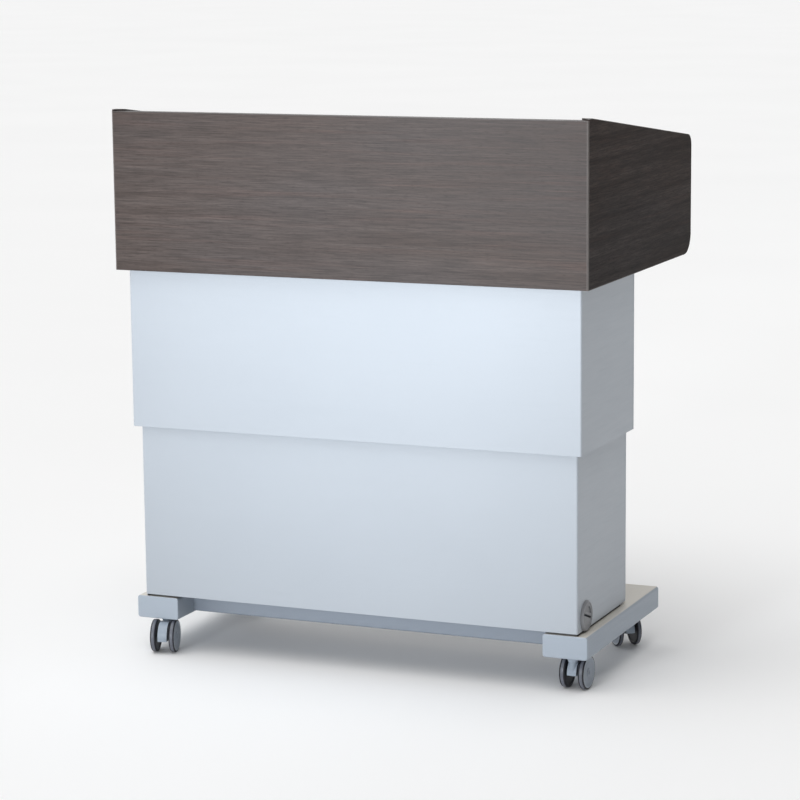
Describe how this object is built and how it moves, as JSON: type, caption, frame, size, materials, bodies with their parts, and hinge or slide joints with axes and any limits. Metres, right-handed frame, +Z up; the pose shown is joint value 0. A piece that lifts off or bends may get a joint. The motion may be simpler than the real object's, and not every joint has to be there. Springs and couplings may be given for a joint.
{
  "type": "presentation lectern",
  "caption": "Height-adjustable lectern: wood head with sloping desk, nested sheet-metal covers over electric lift columns, two feet on swivel casters.",
  "frame": {"origin": "on the floor under the centre of the head, at the bottom centre of the bounding box", "axes": "+X to the right as the audience sees the lectern, -Y towards the audience, +Y towards the presenter, +Z up"},
  "size_m": [0.9, 0.58, 1],
  "materials": {
    "wood_laminate": "satin dark wenge laminate, horizontal grain",
    "wood_edge": "satin edge banding, with a lighter lipping down each front corner",
    "cover_paint": "satin silver-blue powder coat",
    "frame_paint": "satin silver powder coat",
    "zinc_steel": "zinc plated",
    "cast_aluminium": "die cast",
    "white_nylon": "natural nylon",
    "grey_nylon": "moulded grey nylon",
    "grey_plastic": "moulded grey plastic",
    "black_steel": "matt black powder coat",
    "black_plastic": "moulded black plastic",
    "cable_rubber": "matte cable sheath",
    "wheel_rubber": "dark soft tyre on a grey disc"
  },
  "bodies": {
    "base": {"foot_left": "frame_paint", "foot_right": "frame_paint", "foot_end_caps": "frame_paint", "crossbar": "frame_paint", "leg_base_plates": "zinc_steel", "leg_screws": "zinc_steel", "leg_outer_tube_left": "frame_paint", "leg_outer_tube_right": "frame_paint", "leg_glides": "white_nylon", "nut_tubes": "zinc_steel", "spindle_nuts": "white_nylon", "lower_front_shell": "cover_paint", "lower_rear_panel": "cover_paint", "lower_corner_angles": "zinc_steel", "lower_cover_brackets": "black_steel", "lower_cover_screws": "zinc_steel", "grommet_ring": "grey_plastic", "mains_inlet": "black_plastic", "caster_sockets": "zinc_steel", "caster_kingpins": "zinc_steel"},
    "head": {"front_board": "wood_laminate", "side_board_left": "wood_laminate", "side_board_right": "wood_laminate", "edge_bands": "wood_edge", "desk_board": "wood_laminate", "book_stop": "wood_edge", "partition_board": "wood_laminate", "shelf_board": "wood_laminate", "upper_front_shell": "cover_paint", "upper_rear_panel": "cover_paint", "upper_corner_angles": "zinc_steel", "upper_panel_screws": "zinc_steel", "leg_inner_tubes": "frame_paint", "lift_beam": "zinc_steel", "gearboxes": "cast_aluminium", "motors": "zinc_steel", "control_box": "black_plastic", "motor_leads": "cable_rubber", "switch_housing": "black_plastic"},
    "grommet_cap": {"grommet_cap": "grey_plastic"},
    "spindle_left": {"spindle_left": "zinc_steel"},
    "spindle_right": {"spindle_right": "zinc_steel"},
    "up_button": {"up_button": "grey_plastic"},
    "down_button": {"down_button": "grey_plastic"},
    "caster_front_left": {"caster_front_left_housing": "grey_nylon", "caster_front_left_axle": "zinc_steel"},
    "caster_front_left_wheel_a": {"caster_front_left_wheel_a": "wheel_rubber"},
    "caster_front_left_wheel_b": {"caster_front_left_wheel_b": "wheel_rubber"},
    "caster_front_right": {"caster_front_right_housing": "grey_nylon", "caster_front_right_axle": "zinc_steel"},
    "caster_front_right_wheel_a": {"caster_front_right_wheel_a": "wheel_rubber"},
    "caster_front_right_wheel_b": {"caster_front_right_wheel_b": "wheel_rubber"},
    "caster_rear_left": {"caster_rear_left_housing": "grey_nylon", "caster_rear_left_axle": "zinc_steel"},
    "caster_rear_left_wheel_a": {"caster_rear_left_wheel_a": "wheel_rubber"},
    "caster_rear_left_wheel_b": {"caster_rear_left_wheel_b": "wheel_rubber"},
    "caster_rear_right": {"caster_rear_right_housing": "grey_nylon", "caster_rear_right_axle": "zinc_steel"},
    "caster_rear_right_wheel_a": {"caster_rear_right_wheel_a": "wheel_rubber"},
    "caster_rear_right_wheel_b": {"caster_rear_right_wheel_b": "wheel_rubber"}
  },
  "joints": [
    {"name": "lift", "type": "slide", "parent": "base", "child": "head", "axis": [0, 0, 1], "range_m": [-0.25, 0]},
    {"name": "grommet_turn", "type": "hinge", "parent": "base", "child": "grommet_cap", "pos_m": [0.421, -0.218, 0.1322], "axis": [1, 0, 0], "continuous": true},
    {"name": "spindle_left_turn", "type": "hinge", "parent": "head", "child": "spindle_left", "pos_m": [-0.388, -0.129, 0.7], "axis": [0, 0, 1], "continuous": true},
    {"name": "spindle_right_turn", "type": "hinge", "parent": "head", "child": "spindle_right", "pos_m": [0.388, -0.129, 0.7], "axis": [0, 0, 1], "continuous": true},
    {"name": "up_press", "type": "slide", "parent": "head", "child": "up_button", "axis": [0, -0.9925, 0.1219], "range_m": [0, 0.0015], "stiffness_N_per_m": 600, "springref_m": -0.001},
    {"name": "down_press", "type": "slide", "parent": "head", "child": "down_button", "axis": [0, -0.9925, 0.1219], "range_m": [0, 0.0015], "stiffness_N_per_m": 600, "springref_m": -0.001},
    {"name": "caster_front_left_swivel", "type": "hinge", "parent": "base", "child": "caster_front_left", "pos_m": [-0.3915, -0.234, 0.055], "axis": [0, 0, 1], "continuous": true},
    {"name": "caster_front_left_wheel_a_roll", "type": "hinge", "parent": "caster_front_left", "child": "caster_front_left_wheel_a", "pos_m": [-0.38666, -0.25341, 0.03], "axis": [0.9703, 0.2419, 0], "continuous": true},
    {"name": "caster_front_left_wheel_b_roll", "type": "hinge", "parent": "caster_front_left", "child": "caster_front_left_wheel_b", "pos_m": [-0.38666, -0.25341, 0.03], "axis": [0.9703, 0.2419, 0], "continuous": true},
    {"name": "caster_front_right_swivel", "type": "hinge", "parent": "base", "child": "caster_front_right", "pos_m": [0.4035, -0.234, 0.055], "axis": [0, 0, 1], "continuous": true},
    {"name": "caster_front_right_wheel_a_roll", "type": "hinge", "parent": "caster_front_right", "child": "caster_front_right_wheel_a", "pos_m": [0.4042, -0.21401, 0.03], "axis": [-0.9994, 0.0349, 0], "continuous": true},
    {"name": "caster_front_right_wheel_b_roll", "type": "hinge", "parent": "caster_front_right", "child": "caster_front_right_wheel_b", "pos_m": [0.4042, -0.21401, 0.03], "axis": [-0.9994, 0.0349, 0], "continuous": true},
    {"name": "caster_rear_left_swivel", "type": "hinge", "parent": "base", "child": "caster_rear_left", "pos_m": [-0.3915, 0.077, 0.055], "axis": [0, 0, 1], "continuous": true},
    {"name": "caster_rear_left_wheel_a_roll", "type": "hinge", "parent": "caster_rear_left", "child": "caster_rear_left_wheel_a", "pos_m": [-0.3915, 0.097, 0.03], "axis": [-1, 0, 0], "continuous": true},
    {"name": "caster_rear_left_wheel_b_roll", "type": "hinge", "parent": "caster_rear_left", "child": "caster_rear_left_wheel_b", "pos_m": [-0.3915, 0.097, 0.03], "axis": [-1, 0, 0], "continuous": true},
    {"name": "caster_rear_right_swivel", "type": "hinge", "parent": "base", "child": "caster_rear_right", "pos_m": [0.4035, 0.077, 0.055], "axis": [0, 0, 1], "continuous": true},
    {"name": "caster_rear_right_wheel_a_roll", "type": "hinge", "parent": "caster_rear_right", "child": "caster_rear_right_wheel_a", "pos_m": [0.39064, 0.09232, 0.03], "axis": [-0.766, -0.6428, 0], "continuous": true},
    {"name": "caster_rear_right_wheel_b_roll", "type": "hinge", "parent": "caster_rear_right", "child": "caster_rear_right_wheel_b", "pos_m": [0.39064, 0.09232, 0.03], "axis": [-0.766, -0.6428, 0], "continuous": true}
  ],
  "couplings": [
    {"joint": "spindle_left_turn", "follows": "lift", "rad_per_m": 785.4},
    {"joint": "spindle_right_turn", "follows": "lift", "rad_per_m": 785.4}
  ]
}
